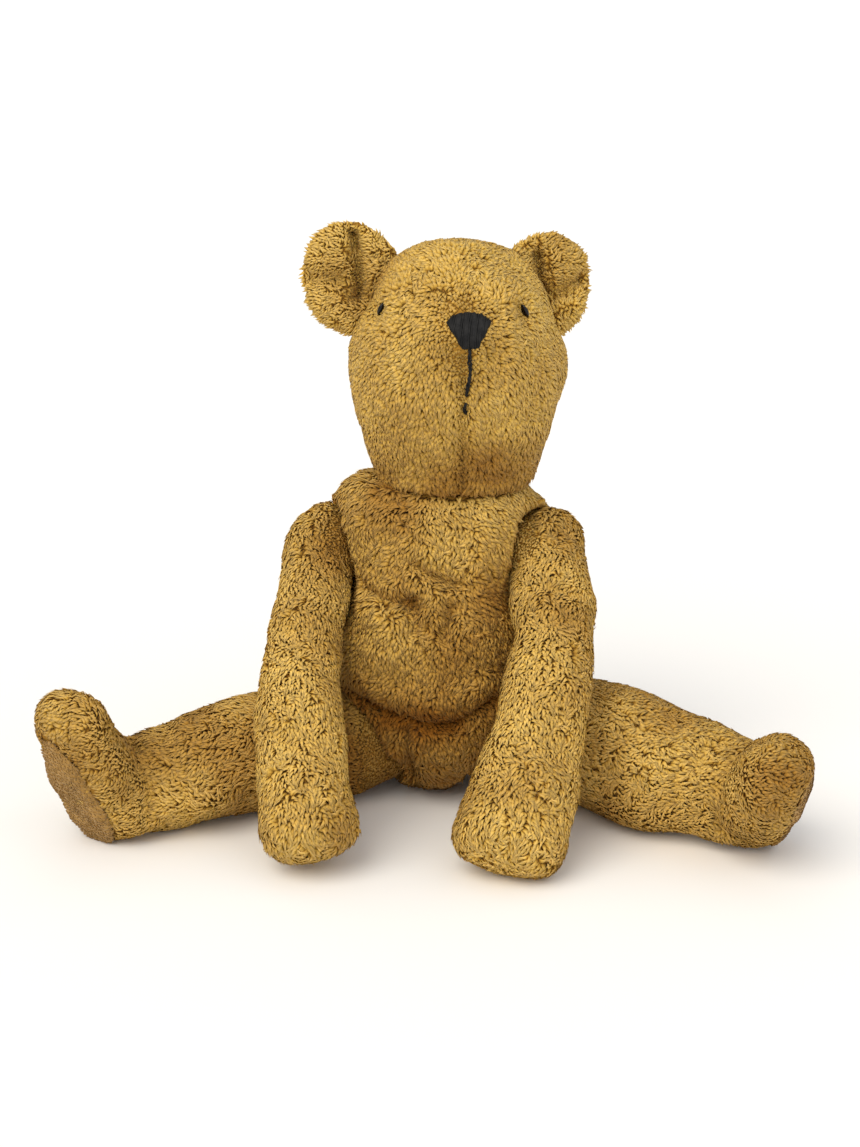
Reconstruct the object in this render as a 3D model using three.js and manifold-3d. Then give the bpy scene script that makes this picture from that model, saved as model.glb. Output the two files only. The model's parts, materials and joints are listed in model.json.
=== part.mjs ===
// A jointed plush teddy bear, seated, as a three.js scene graph.
// Units are millimetres, +Z is up, and the bear faces -Y. The origin is the middle of the flat
// patch of the body that it sits on. Left and right are the bear's own: its right is -X.
// Every limb is a hollow fabric skin, a core of stuffing and a joint made of two hardboard discs,
// two washers, a bolt and a lock nut.

import * as THREE from "three";
import { mergeVertices } from "three/addons/utils/BufferGeometryUtils.js";
import Module from "manifold-3d";

const wasm = await Module();
wasm.setup();

// ---------------------------------------------------------------- driving dimensions

const SKIN = 4; // plush cloth and its flattened pile
const FIT = 0.5; // air between a skin and the stuffing inside it
const GAP = 0.35; // air between two pieces that rest on each other
const JOINT_GAP = 1; // air between the two skins that turn on each other

const AROUND = 18; // facets round an outer skin
const AROUND_INSIDE = 10; // facets round a hollow or a core
const CAP_ROWS = 3;
const CAP_ROWS_INSIDE = 2;
const FACET_ROOM = 1.6; // extra air where a coarse shape clears a finer one

const NECK = { x: 11, y: 0, z: 173, disc: 20, bodyDisc: 13.5, bolt: 2.5 };
const HEAD_TURN = 13; // degrees to the bear's left

const TORSO = [
  { at: [0, 3, 14], wide: 50, deep: 33 },
  { at: [0, -12, 46], wide: 66, deep: 52 },
  { at: [1, -13, 84], wide: 63, deep: 49 },
  { at: [2, -9, 120], wide: 59, deep: 43 },
  { at: [4, -3, 152], wide: 68, deep: 39 },
];
const TORSO_CAP = { start: 19, end: 28 };

const HEAD = [
  { at: [0, 0, -2], wide: 40, deep: 38 },
  { at: [0, -3, 24], wide: 50, deep: 47 },
  { at: [0, -6, 56], wide: 58, deep: 56 },
  { at: [0, -6, 82], wide: 54, deep: 56 },
  { at: [0, 2, 99], wide: 45, deep: 45 },
];
const HEAD_CAP = { start: 8, end: 26 };
const MUZZLE = [
  { at: [0, -22, 62], wide: 42, deep: 36 },
  { at: [0, -50, 84], wide: 21, deep: 18 },
];
const MUZZLE_CAP = { start: 30, end: 16 };

const SHOULDER = { bulb: 21, disc: 11, bodyDisc: 11, bolt: 2, axis: [0.934, 0.155, -0.322] };
const HIP = { bulb: 31, disc: 15, bodyDisc: 10.5, bolt: 2.5, axis: [0.886, 0.329, -0.329] };

const ARMS = {
  right: [
    { at: [-60, -6, 137], wide: 21, deep: 21 },
    { at: [-62, -50, 104], wide: 20, deep: 19 },
    { at: [-58, -97, 66], wide: 23, deep: 21 },
    { at: [-46, -138, 23], wide: 26, deep: 22 },
  ],
  left: [
    { at: [62, -6, 138], wide: 21, deep: 21 },
    { at: [69, -48, 106], wide: 22, deep: 20 },
    { at: [65, -92, 64], wide: 25, deep: 22 },
    { at: [52, -130, 20], wide: 30, deep: 24 },
  ],
};
const ARM_CAP_END = 16;

const LEG_HEIGHT = 31; // of the hip's centre above the floor
// heading, twist, roll and point are degrees: where the leg goes, how far the foot turns in and
// rolls out from there, and how far the toe points away from straight up.
const LEGS = {
  right: {
    hip: [-38, -27],
    heading: 56,
    twist: 24,
    roll: 0,
    point: 26,
    reach: 142,
    plump: 1,
    lift: 0,
    footLength: 1,
  },
  left: {
    hip: [38, -8],
    heading: 61,
    twist: 0,
    roll: 46,
    point: 30,
    reach: 154,
    plump: 1.1,
    lift: 7,
    footLength: 0.86,
  },
};
const LEG_STATIONS = [
  { along: 0, wide: 31, deep: 31, lift: 0 },
  { along: 0.42, wide: 31.5, deep: 33, lift: 2 },
  { along: 0.75, wide: 29, deep: 28, lift: -4 },
  { along: 1, wide: 24, deep: 23, lift: -7 },
];
const LEG_CAP_END = 12;
const FOOT = [
  { at: -14, wide: 22, deep: 24 },
  { at: 12, wide: 25, deep: 22 },
  { at: 42, wide: 23, deep: 17 },
];
const FOOT_CAP = { start: 20, end: 20 };
const FOOT_OUT = 6; // from the end of the leg's core line to the middle of the foot
const SOLE = { plane: 15, thick: 3.5 };

const EAR = { wide: 27, high: 33, thick: 7, cup: 0.006, facets: 20, rows: 12 };
const EARS = {
  right: { at: [-54, 6, 107], turn: 12, lean: -24 },
  left: { at: [45, 6, 100], turn: -8, lean: 24 },
};

// The outlines of the face pieces, across and up the head, about their own centres.
const NOSE = [[-11, 7], [-6.5, 9.5], [6.5, 9.5], [11, 7], [10, 1], [3, -9], [-3, -9], [-10, 1]];
const NOSE_PLACE = { at: [0, 90], thick: 2 };
const MOUTH = [[-1, 0], [1, 0], [1, -40], [-1, -40]];
const MOUTH_PLACE = { at: [0, 80], thick: 1 };
const EYE = { wide: 2.5, high: 4, thick: 1.5, facets: 8 };
const EYES = { right: [-43, 97], left: [28, 97] };
const PUNCH = { from: -15, depth: 70 }; // how far the face outlines reach forwards

const DISC_THICK = 3;
const DISC_MARGIN = 4; // between a disc's edge and the rounded end it lies in
const WASHER = { radius: 7, thick: 1, inset: 3 };
const NUT_THICK = 4;
const BOLT_TAIL = 1.5; // thread that shows past the nut
const HEX_RATIO = 1.9; // half width of a nut or bolt head, over the bolt's radius
const HEAD_RATIO = 0.8; // height of a bolt head, over the bolt's radius
const DRILL = 100; // longer than any stack of hardware
const HARDWARE_ROOM = 1; // air round the hardware, inside the stuffing

// ---------------------------------------------------------------- colours

const cloth = (color) => new THREE.MeshStandardMaterial({ color, roughness: 0.95, metalness: 0 });
const PLUSH = cloth(0xb08a3c);
const SOLE_KNIT = cloth(0x9a7336);
const FILLING = cloth(0xeee8da);
const THREAD = cloth(0x1c1a1b);
const BEAD = new THREE.MeshStandardMaterial({ color: 0x16120f, roughness: 0.25, metalness: 0 });
const BOARD = new THREE.MeshStandardMaterial({ color: 0x6b4b2e, roughness: 0.8, metalness: 0 });
const STEEL = new THREE.MeshStandardMaterial({ color: 0xb9bcc0, roughness: 0.35, metalness: 1 });

// ---------------------------------------------------------------- solids

const X_AXIS = [1, 0, 0];
const Z = new THREE.Vector3(0, 0, 1);
const BLOCK = 600; // side of a block that is larger than the bear
const vec = (p) => new THREE.Vector3(...p);
const radians = THREE.MathUtils.degToRad;

// A closed geometry as a manifold-3d solid, which can be cut and joined.
function solid(geometry) {
  const bare = geometry.clone();
  bare.deleteAttribute("normal");
  bare.deleteAttribute("uv");
  const merged = mergeVertices(bare, 1e-4);
  return new wasm.Manifold(
    new wasm.Mesh({
      numProp: 3,
      vertProperties: merged.attributes.position.array,
      triVerts: new Uint32Array(merged.index.array),
    }),
  );
}

// A solid back as a geometry, flat shaded.
function geometryOf(manifold) {
  const mesh = manifold.getMesh();
  const geometry = new THREE.BufferGeometry();
  const points = new Float32Array(mesh.numVert * 3);
  for (let i = 0; i < mesh.numVert; i += 1) {
    for (let k = 0; k < 3; k += 1) points[3 * i + k] = mesh.vertProperties[i * mesh.numProp + k];
  }
  geometry.setAttribute("position", new THREE.BufferAttribute(points, 3));
  geometry.setIndex(new THREE.BufferAttribute(new Uint32Array(mesh.triVerts), 1));
  geometry.computeVertexNormals();
  return geometry;
}

// A stuffed shape: a sphere drawn out along a smooth line through the stations. Each station has
// its centre, its half width and its half depth; the ends are rounded over the cap lengths.
// inset makes the same shape smaller all over, for the hollow of a skin and for its stuffing.
function stuffed(stations, { caps, across, inset = 0, inside = false, bodyRows = 5 }) {
  const line = new THREE.CatmullRomCurve3(stations.map((s) => vec(s.at)), false, "centripetal");
  const wide = new THREE.CatmullRomCurve3(stations.map((s, i) => new THREE.Vector3(i, s.wide, s.deep)));
  const capRows = inside ? CAP_ROWS_INSIDE : CAP_ROWS;
  const middleRows = inside ? Math.max(2, bodyRows - 2) : bodyRows;
  const rows = 2 * capRows + middleRows;
  const geometry = new THREE.SphereGeometry(1, inside ? AROUND_INSIDE : AROUND, rows);
  const position = geometry.attributes.position;
  const reference = vec(across);
  for (let i = 0; i < position.count; i += 1) {
    const [x, y, z] = [position.getX(i), position.getY(i), position.getZ(i)];
    const row = Math.round((Math.acos(THREE.MathUtils.clamp(y, -1, 1)) / Math.PI) * rows);
    const turn = Math.atan2(z, x);
    let t = (row - capRows) / middleRows;
    let beyond = 0;
    let round = 1;
    if (row < capRows) {
      const angle = (row / capRows) * (Math.PI / 2);
      t = 0;
      beyond = -(caps.start - inset) * Math.cos(angle);
      round = Math.sin(angle);
    } else if (row > capRows + middleRows) {
      const angle = ((rows - row) / capRows) * (Math.PI / 2);
      t = 1;
      beyond = (caps.end - inset) * Math.cos(angle);
      round = Math.sin(angle);
    }
    const centre = line.getPoint(t);
    const tangent = line.getTangent(t);
    const size = wide.getPoint(t);
    const side = reference.clone().addScaledVector(tangent, -reference.dot(tangent)).normalize();
    const front = new THREE.Vector3().crossVectors(tangent, side);
    if (y === 1 || y === -1) round = 0;
    centre
      .addScaledVector(tangent, beyond)
      .addScaledVector(side, Math.cos(turn) * round * (size.y - inset))
      .addScaledVector(front, Math.sin(turn) * round * (size.z - inset));
    position.setXYZ(i, centre.x, centre.y, centre.z);
  }
  return geometry;
}

// A matrix that takes local +Z to the direction given, with its origin at a point.
function standOn(direction, at) {
  const turn = new THREE.Quaternion().setFromUnitVectors(new THREE.Vector3(0, 0, 1), direction);
  return new THREE.Matrix4().compose(at, turn, new THREE.Vector3(1, 1, 1));
}

// A round bar along local Z from low to high, or a hexagonal one with six sides.
function bar(radius, low, high, sides = 16) {
  const geometry = new THREE.CylinderGeometry(radius, radius, high - low, sides);
  return geometry.rotateX(Math.PI / 2).translate(0, 0, (low + high) / 2);
}

function ball(radius, at, around = AROUND) {
  return new THREE.SphereGeometry(radius, around, around / 2).translate(at.x, at.y, at.z);
}

// A block that holds everything on one side of a plane: the side its normal points to.
function beyondPlane(normal, point) {
  const block = new THREE.BoxGeometry(BLOCK, BLOCK, BLOCK).translate(0, 0, BLOCK / 2);
  return solid(block.applyMatrix4(standOn(normal.clone().normalize(), point)));
}

const below = (height) => beyondPlane(Z.clone().negate(), new THREE.Vector3(0, 0, height));
const above = (height) => beyondPlane(Z, new THREE.Vector3(0, 0, height));
const FLOOR = below(0);

// ---------------------------------------------------------------- the parts of a joint

const bear = new THREE.Group();

function addPiece(name, geometry, material) {
  const mesh = new THREE.Mesh(geometry, material);
  mesh.name = name;
  bear.add(mesh);
}

// Where a joint's stack of hardware lies, as distances along its axis from the joint's centre.
// The axis points from the torso's side to the moving side.
function stackOf(joint) {
  const innerDisc = joint.movingFace + GAP;
  const torsoDisc = joint.torsoFace - GAP;
  return {
    innerDisc: [innerDisc, innerDisc + DISC_THICK],
    innerWasher: [innerDisc + DISC_THICK + GAP, innerDisc + DISC_THICK + GAP + WASHER.thick],
    torsoDisc: [torsoDisc - DISC_THICK, torsoDisc],
    torsoWasher: [torsoDisc - DISC_THICK - GAP - WASHER.thick, torsoDisc - DISC_THICK - GAP],
  };
}

function addJointHardware(joint) {
  const place = standOn(joint.direction, joint.centre);
  const stack = stackOf(joint);
  const hole = solid(bar(joint.bolt + GAP, -DRILL, DRILL, 10));
  const ring = (radius, [low, high], sides) =>
    geometryOf(solid(bar(radius, low, high, sides)).subtract(hole)).applyMatrix4(place);
  const washerRadius = Math.min(WASHER.radius, joint.bodyDisc - WASHER.inset);
  addPiece(`${joint.name}_disc_inner`, ring(joint.disc, stack.innerDisc, 16), BOARD);
  addPiece(`${joint.name}_disc_body`, ring(joint.bodyDisc, stack.torsoDisc, 16), BOARD);
  addPiece(`${joint.name}_washer_inner`, ring(washerRadius, stack.innerWasher, 10), STEEL);
  addPiece(`${joint.name}_washer_body`, ring(washerRadius, stack.torsoWasher, 10), STEEL);
  const nutLow = stack.innerWasher[1] + GAP;
  const headHigh = stack.torsoWasher[0] - GAP;
  const across = joint.bolt * HEX_RATIO;
  const head = solid(bar(across, headHigh - joint.bolt * HEAD_RATIO, headHigh, 6));
  const shank = solid(bar(joint.bolt, headHigh - joint.bolt / 2, nutLow + NUT_THICK + BOLT_TAIL, 10));
  addPiece(`${joint.name}_bolt`, geometryOf(head.add(shank)).applyMatrix4(place), STEEL);
  addPiece(`${joint.name}_lock_nut`, ring(across, [nutLow, nutLow + NUT_THICK], 6), STEEL);
}

// The room that a joint's hardware needs inside the stuffing.
function hardwareRoom(joint) {
  const stack = stackOf(joint);
  const nutEnd = stack.innerWasher[1] + NUT_THICK + BOLT_TAIL;
  const headEnd = stack.torsoWasher[0] - joint.bolt * HEAD_RATIO;
  const radius = joint.disc + HARDWARE_ROOM;
  const room = bar(radius, headEnd - 2 * HARDWARE_ROOM, nutEnd + 2 * HARDWARE_ROOM, 12);
  return solid(room.applyMatrix4(standOn(joint.direction, joint.centre)));
}

// The bolt's hole in the two skins that meet at a joint.
function holeThrough(joint) {
  const from = joint.torsoFace - SKIN / 2;
  const drill = bar(joint.bolt + 2 * GAP, from, joint.movingFace + SKIN / 2, 10);
  return solid(drill.applyMatrix4(standOn(joint.direction, joint.centre)));
}

// ---------------------------------------------------------------- joints

// A ball shaped limb end sits in a ball shaped pocket of the body, and turns on the bolt.
function bulbJoint(name, kind, centre, side) {
  const direction = vec(kind.axis).normalize();
  if (side === "right") direction.x = -direction.x;
  const discInside = Math.sqrt((kind.bulb - SKIN) ** 2 - kind.disc ** 2) - DISC_MARGIN;
  return {
    name,
    centre,
    direction,
    bolt: kind.bolt,
    disc: kind.disc,
    bodyDisc: kind.bodyDisc,
    bulb: kind.bulb,
    movingFace: -discInside,
    torsoFace: -(kind.bulb + JOINT_GAP + SKIN + FACET_ROOM),
  };
}

// ---------------------------------------------------------------- limbs

function armStuffed(side, options) {
  const caps = { start: SHOULDER.bulb, end: ARM_CAP_END };
  return solid(stuffed(ARMS[side], { caps, across: X_AXIS, ...options }));
}

// The leg's own directions: along it, up, and the foot's toe and sole directions.
function legFrame(side) {
  const leg = LEGS[side];
  const outward = side === "left" ? 1 : -1;
  const heading = radians(leg.heading) * outward;
  const along = new THREE.Vector3(Math.sin(heading), -Math.cos(heading), 0);
  const forward = along.clone().applyAxisAngle(Z, -outward * radians(leg.twist));
  const up = Z.clone().applyAxisAngle(forward, outward * radians(leg.roll));
  const toe = up.clone().multiplyScalar(Math.cos(radians(leg.point)));
  toe.addScaledVector(forward, Math.sin(radians(leg.point)));
  const sole = forward.clone().multiplyScalar(Math.cos(radians(leg.point)));
  sole.addScaledVector(up, -Math.sin(radians(leg.point)));
  const across = new THREE.Vector3().crossVectors(toe, sole);
  const hip = new THREE.Vector3(leg.hip[0], leg.hip[1], LEG_HEIGHT);
  const ankle = hip.clone().addScaledVector(along, leg.reach);
  const foot = ankle.clone().addScaledVector(along, FOOT_OUT);
  return { ...leg, along, up, toe, sole, across, hip, foot };
}

function legTube(side, options) {
  const frame = legFrame(side);
  const stations = LEG_STATIONS.map((s) => ({
    at: frame.hip
      .clone()
      .addScaledVector(frame.along, s.along * frame.reach)
      .addScaledVector(Z, s.lift + frame.lift * s.along)
      .toArray(),
    wide: s.along === 0 ? s.wide : s.wide * frame.plump,
    deep: s.along === 0 ? s.deep : s.deep * frame.plump,
  }));
  const caps = { start: HIP.bulb, end: LEG_CAP_END };
  const across = new THREE.Vector3().crossVectors(frame.along, Z).toArray();
  return solid(stuffed(stations, { caps, across, ...options }));
}

function legFoot(side, options) {
  const frame = legFrame(side);
  const stations = FOOT.map((s) => ({
    at: frame.foot.clone().addScaledVector(frame.toe, s.at * frame.footLength).toArray(),
    wide: s.wide * frame.plump,
    deep: s.deep * frame.plump,
  }));
  const across = frame.across.toArray();
  return solid(stuffed(stations, { caps: FOOT_CAP, across, bodyRows: 4, ...options }));
}

function legStuffed(side, options) {
  return legTube(side, options).add(legFoot(side, options));
}

// ---------------------------------------------------------------- torso

const joints = {
  neck: {
    name: "neck",
    centre: new THREE.Vector3(NECK.x, NECK.y, NECK.z),
    direction: Z,
    bolt: NECK.bolt,
    disc: NECK.disc,
    bodyDisc: NECK.bodyDisc,
    movingFace: JOINT_GAP / 2 + SKIN,
    torsoFace: -JOINT_GAP / 2 - SKIN,
  },
};
for (const side of ["right", "left"]) {
  joints[`${side}_shoulder`] = bulbJoint(`${side}_shoulder`, SHOULDER, vec(ARMS[side][0].at), side);
  joints[`${side}_hip`] = bulbJoint(`${side}_hip`, HIP, legFrame(side).hip, side);
}
const bulbs = Object.values(joints).filter((joint) => joint.bulb);

function torsoStuffed(options) {
  return solid(stuffed(TORSO, { caps: TORSO_CAP, across: X_AXIS, ...options }));
}

const LIMB_REACH = 200; // past the end of any limb
// How far each limb turns, in degrees from the seated pose.
const SWING = { shoulder: 65, hip: 80 };

// The limb's turn is positive when an arm rises, and when a leg goes from seated to standing.
function turnAxis(joint, kind) {
  const sense = (kind === SHOULDER ? -1 : 1) * (joint.direction.x < 0 ? -1 : 1);
  return joint.direction.clone().multiplyScalar(sense);
}

// The space that a limb sweeps: a ring round the joint's axis, cut to the angle of the swing.
function sweptSpace(joint, kind, limbDirection, thickness, swing) {
  const slope = joint.direction.angleTo(limbDirection);
  const [far, sine, cosine] = [LIMB_REACH, Math.sin(slope), Math.cos(slope)];
  const edge = [thickness * cosine, -thickness * sine];
  const profile = [
    [0, 0],
    edge,
    [edge[0] + far * sine, edge[1] + far * cosine],
    [0, far],
  ];
  const outline = profile.map(([radius, height]) => new THREE.Vector2(radius, height));
  const ring = new THREE.LatheGeometry(outline, 2 * AROUND);
  ring.rotateX(Math.PI / 2).applyMatrix4(standOn(joint.direction, joint.centre));
  const axis = turnAxis(joint, kind);
  const atRest = new THREE.Vector3().crossVectors(axis, limbDirection);
  const atLimit = atRest.clone().applyAxisAngle(axis, radians(swing)).negate();
  return solid(ring)
    .intersect(beyondPlane(atRest, joint.centre))
    .intersect(beyondPlane(atLimit, joint.centre));
}

function atLimit(limb, joint, kind, swing) {
  const move = new THREE.Matrix4()
    .makeTranslation(joint.centre)
    .multiply(new THREE.Matrix4().makeRotationAxis(turnAxis(joint, kind), radians(swing)))
    .multiply(new THREE.Matrix4().makeTranslation(joint.centre.clone().negate()));
  return solid(geometryOf(limb).applyMatrix4(move));
}

// The space that the limbs and their swing take from the torso, and from what is inside it.
function roomForLimbs(clearance) {
  const coarse = { inset: -clearance - FACET_ROOM, inside: true };
  let room = null;
  for (const side of ["right", "left"]) {
    const hip = joints[`${side}_hip`];
    const shoulder = joints[`${side}_shoulder`];
    const leg = legTube(side, coarse);
    const arm = armStuffed(side, coarse);
    const [top, next] = [vec(ARMS[side][0].at), vec(ARMS[side][1].at)];
    const armDirection = next.sub(top).normalize();
    const thigh = LEG_STATIONS[1].deep * LEGS[side].plump;
    for (const space of [
      leg,
      arm,
      atLimit(leg, hip, HIP, SWING.hip),
      atLimit(arm, shoulder, SHOULDER, SWING.shoulder),
      sweptSpace(hip, HIP, legFrame(side).along, thigh + clearance, SWING.hip),
      sweptSpace(shoulder, SHOULDER, armDirection, SHOULDER.bulb + clearance, SWING.shoulder),
    ]) {
      room = room ? room.add(space) : space;
    }
  }
  return room;
}

function buildTorso() {
  const neckTop = NECK.z - JOINT_GAP / 2;
  let outer = torsoStuffed({ bodyRows: 8 }).subtract(FLOOR);
  outer = outer.subtract(above(neckTop));
  outer = outer.subtract(roomForLimbs(JOINT_GAP));
  let hollow = torsoStuffed({ inset: SKIN, inside: true, bodyRows: 7 });
  hollow = hollow.subtract(below(SKIN)).subtract(above(neckTop - SKIN));
  hollow = hollow.subtract(roomForLimbs(JOINT_GAP + SKIN));
  let core = torsoStuffed({ inset: SKIN + FIT, inside: true, bodyRows: 7 });
  core = core.subtract(below(SKIN + FIT)).subtract(above(neckTop - SKIN - FIT));
  core = core.subtract(roomForLimbs(JOINT_GAP + SKIN + 2 * FIT));
  for (const joint of bulbs) {
    const pocket = joint.bulb + JOINT_GAP;
    outer = outer.subtract(solid(ball(pocket, joint.centre)));
    hollow = hollow.subtract(solid(ball(pocket + SKIN, joint.centre)));
    core = core.subtract(solid(ball(pocket + SKIN + 2 * FIT, joint.centre)));
  }
  let skin = outer.subtract(hollow);
  for (const joint of Object.values(joints)) {
    skin = skin.subtract(holeThrough(joint));
    core = core.subtract(hardwareRoom(joint));
  }
  return { skin, core };
}

const torso = buildTorso();
addPiece("torso_skin", geometryOf(torso.skin), PLUSH);
addPiece("torso_stuffing", geometryOf(torso.core), FILLING);

for (const side of ["right", "left"]) {
  const joint = joints[`${side}_shoulder`];
  const skin = armStuffed(side, {})
    .subtract(armStuffed(side, { inset: SKIN, inside: true }))
    .subtract(FLOOR)
    .subtract(holeThrough(joint));
  const core = armStuffed(side, { inset: SKIN + FIT, inside: true })
    .subtract(below(SKIN + FIT))
    .subtract(hardwareRoom(joint));
  addPiece(`${side}_arm_skin`, geometryOf(skin), PLUSH);
  addPiece(`${side}_arm_stuffing`, geometryOf(core), FILLING);
}

for (const side of ["right", "left"]) {
  const joint = joints[`${side}_hip`];
  const frame = legFrame(side);
  const solePlane = (offset) =>
    beyondPlane(frame.sole, frame.foot.clone().addScaledVector(frame.sole, SOLE.plane + offset));
  const skin = legStuffed(side, {})
    .subtract(solePlane(0))
    .subtract(legStuffed(side, { inset: SKIN, inside: true }))
    .subtract(FLOOR)
    .subtract(holeThrough(joint));
  const core = legStuffed(side, { inset: SKIN + FIT, inside: true })
    .subtract(solePlane(-FIT))
    .subtract(below(SKIN + FIT))
    .subtract(hardwareRoom(joint));
  const sole = legFoot(side, {})
    .intersect(solePlane(GAP))
    .subtract(solePlane(GAP + SOLE.thick))
    .subtract(FLOOR);
  addPiece(`${side}_leg_skin`, geometryOf(skin), PLUSH);
  addPiece(`${side}_leg_stuffing`, geometryOf(core), FILLING);
  addPiece(`${side}_sole`, geometryOf(sole), SOLE_KNIT);
}

// ---------------------------------------------------------------- head

// The head is drawn about the neck's centre, facing -Y, and is then turned on the neck.
const headPlace = new THREE.Matrix4()
  .makeTranslation(joints.neck.centre)
  .multiply(new THREE.Matrix4().makeRotationZ(radians(HEAD_TURN)));

function headStuffed(options) {
  const skull = solid(stuffed(HEAD, { caps: HEAD_CAP, across: X_AXIS, bodyRows: 6, ...options }));
  const snout = solid(stuffed(MUZZLE, { caps: MUZZLE_CAP, across: X_AXIS, bodyRows: 3, ...options }));
  return skull.add(snout);
}

const headOuter = headStuffed({}).subtract(below(JOINT_GAP / 2));
const headClear = headStuffed({ inset: -GAP });

const headJoint = { ...joints.neck, centre: new THREE.Vector3() };
const headSkin = headOuter
  .subtract(headStuffed({ inset: SKIN, inside: true }).subtract(below(JOINT_GAP / 2 + SKIN)))
  .subtract(holeThrough(headJoint));
const headCore = headStuffed({ inset: SKIN + FIT, inside: true })
  .subtract(below(JOINT_GAP / 2 + SKIN + FIT))
  .subtract(hardwareRoom(headJoint));
addPiece("head_skin", geometryOf(headSkin).applyMatrix4(headPlace), PLUSH);
addPiece("head_stuffing", geometryOf(headCore).applyMatrix4(headPlace), FILLING);

// An ear is a flat pad, bent to a cup that opens forwards.
function ear(side) {
  const place = EARS[side];
  const geometry = new THREE.SphereGeometry(1, EAR.facets, EAR.rows);
  geometry.scale(EAR.wide, EAR.thick, EAR.high);
  const position = geometry.attributes.position;
  for (let i = 0; i < position.count; i += 1) {
    const [x, z] = [position.getX(i), position.getZ(i)];
    position.setY(i, position.getY(i) - EAR.cup * (x * x + z * z));
  }
  geometry.rotateY(radians(place.lean)).rotateZ(radians(place.turn)).translate(...place.at);
  return solid(geometry).subtract(headClear);
}
for (const side of ["right", "left"]) {
  addPiece(`${side}_ear`, geometryOf(ear(side)).applyMatrix4(headPlace), PLUSH);
}

// A patch that follows the head's surface: the part of a bar along -Y that lies just outside it.
function patch(outline, thick, centre) {
  const shape = new THREE.Shape(outline.map(([x, z]) => new THREE.Vector2(x, z)));
  const punch = new THREE.ExtrudeGeometry(shape, { depth: PUNCH.depth, bevelEnabled: false });
  punch.rotateX(Math.PI / 2).translate(centre[0], PUNCH.from, centre[1]);
  const piece = solid(punch).intersect(headStuffed({ inset: -GAP - thick })).subtract(headClear);
  return geometryOf(piece).applyMatrix4(headPlace);
}
addPiece("nose", patch(NOSE, NOSE_PLACE.thick, NOSE_PLACE.at), THREAD);
addPiece("mouth_stitch", patch(MOUTH, MOUTH_PLACE.thick, MOUTH_PLACE.at), THREAD);
for (const side of ["right", "left"]) {
  const outline = [];
  for (let i = 0; i < EYE.facets; i += 1) {
    const angle = (i / EYE.facets) * 2 * Math.PI;
    outline.push([EYE.wide * Math.cos(angle), EYE.high * Math.sin(angle)]);
  }
  addPiece(`${side}_eye`, patch(outline, EYE.thick, EYES[side]), BEAD);
}

for (const joint of Object.values(joints)) addJointHardware(joint);

export default bear;
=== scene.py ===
"""A jointed teddy bear in curled cotton plush: its cloth, pile, knit soles and sewn face."""

import json
import math

import bmesh
import bpy
import numpy as np
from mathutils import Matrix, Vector
from mathutils.bvhtree import BVHTree

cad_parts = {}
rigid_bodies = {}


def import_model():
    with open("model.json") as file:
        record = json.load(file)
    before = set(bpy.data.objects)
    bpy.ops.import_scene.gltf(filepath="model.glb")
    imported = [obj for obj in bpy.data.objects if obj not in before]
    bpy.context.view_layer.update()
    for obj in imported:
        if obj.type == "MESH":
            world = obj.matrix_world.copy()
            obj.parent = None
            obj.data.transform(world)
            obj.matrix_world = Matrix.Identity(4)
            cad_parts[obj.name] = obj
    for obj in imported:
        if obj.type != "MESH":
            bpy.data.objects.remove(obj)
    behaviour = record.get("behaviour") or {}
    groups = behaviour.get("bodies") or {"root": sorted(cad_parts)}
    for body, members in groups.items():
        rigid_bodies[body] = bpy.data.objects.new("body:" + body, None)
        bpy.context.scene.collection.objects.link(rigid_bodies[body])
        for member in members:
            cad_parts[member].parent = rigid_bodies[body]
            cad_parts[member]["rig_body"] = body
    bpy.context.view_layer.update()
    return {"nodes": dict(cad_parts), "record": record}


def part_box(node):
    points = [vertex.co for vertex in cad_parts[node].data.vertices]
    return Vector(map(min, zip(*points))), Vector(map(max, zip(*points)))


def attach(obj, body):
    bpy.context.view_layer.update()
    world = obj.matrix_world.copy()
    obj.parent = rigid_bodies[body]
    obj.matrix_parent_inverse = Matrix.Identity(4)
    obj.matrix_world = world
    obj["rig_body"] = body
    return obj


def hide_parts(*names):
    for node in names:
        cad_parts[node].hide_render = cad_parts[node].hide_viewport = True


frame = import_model()

bl_info = {
    "name": "Plush bear",
    "version": (1, 0, 0),
    "blender": (4, 5, 0),
    "location": "View3D > Sidebar > Plush bear",
    "description": "Makes a jointed plush bear round its packed frame",
    "category": "Object",
}

MM = 0.001
SIDES = ("right", "left")
JOINTS = {joint["name"]: joint for joint in frame["record"]["behaviour"]["joints"]}
NECK = Vector(JOINTS["neck_turn"]["pos_m"])
HEAD_TURN = math.radians(13)
FORWARD = Vector((math.sin(HEAD_TURN), -math.cos(HEAD_TURN), 0))
ACROSS = Vector((math.cos(HEAD_TURN), math.sin(HEAD_TURN), 0))
UP = Vector((0, 0, 1))
FRONT = (0, -1, 0)
BACK = (0, 1, 0)


def linear(text):
    """An sRGB hex colour as the linear colour that a socket takes."""
    channels = [int(text[i : i + 2], 16) / 255 for i in (1, 3, 5)]
    return tuple(c / 12.92 if c <= 0.04045 else ((c + 0.055) / 1.055) ** 2.4 for c in channels) + (1.0,)


# ------------------------------------------------------------------ settings


def size_setting(name, description, millimetres):
    return bpy.props.FloatProperty(
        name=name, description=description, default=millimetres * MM, unit="LENGTH", precision=5
    )


def dye_setting(name, description, text):
    return bpy.props.FloatVectorProperty(
        name=name, description=description, subtype="COLOR", size=4, default=linear(text)
    )


def share_setting(name, description, value):
    return bpy.props.FloatProperty(name=name, description=description, default=value, min=0)


def angle_setting(name, description, degrees):
    return bpy.props.FloatProperty(
        name=name, description=description, default=math.radians(degrees), subtype="ANGLE"
    )


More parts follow.
